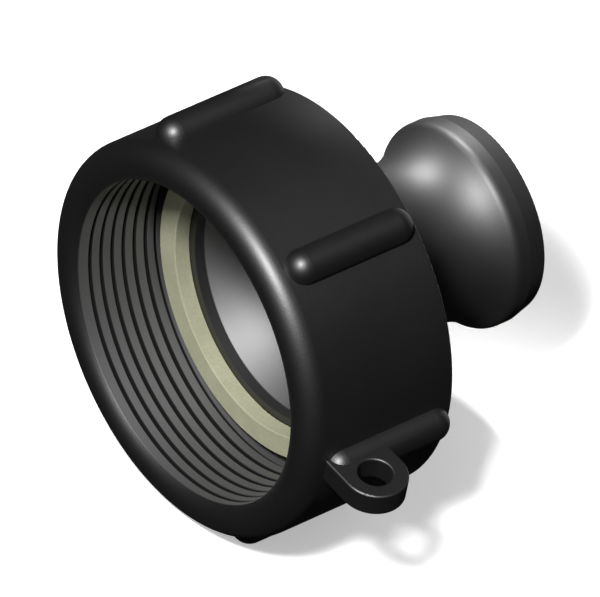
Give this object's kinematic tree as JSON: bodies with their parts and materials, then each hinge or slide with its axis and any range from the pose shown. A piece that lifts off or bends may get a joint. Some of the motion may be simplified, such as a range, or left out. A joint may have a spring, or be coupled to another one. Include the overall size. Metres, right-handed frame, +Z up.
{
  "type": "container tap adapter",
  "caption": "Hand-tightened union nut with an internal pipe thread, a flat seal and a swivelling hollow spigot that ends in a grooved coupling head.",
  "frame": {"origin": "centre of the seal's front face, on the common axis of the thread, the seal and the spigot", "axes": "+Y along the axis from the nut's mouth to the spigot's end, +Z up, and +X to the side on which the lanyard lug stands out, with the adapter lying on its nut"},
  "size_m": [0.0845, 0.0635, 0.07],
  "materials": {
    "nut_plastic": "gloss black",
    "spigot_plastic": "satin black",
    "seal_rubber": "matte cream"
  },
  "bodies": {
    "nut": {"union_nut": "nut_plastic"},
    "spigot": {"spigot": "spigot_plastic", "seal": "seal_rubber"}
  },
  "joints": [
    {"name": "spigot_swivel", "type": "hinge", "parent": "nut", "child": "spigot", "pos_m": [0, 0, 0], "axis": [0, 1, 0], "continuous": true}
  ]
}
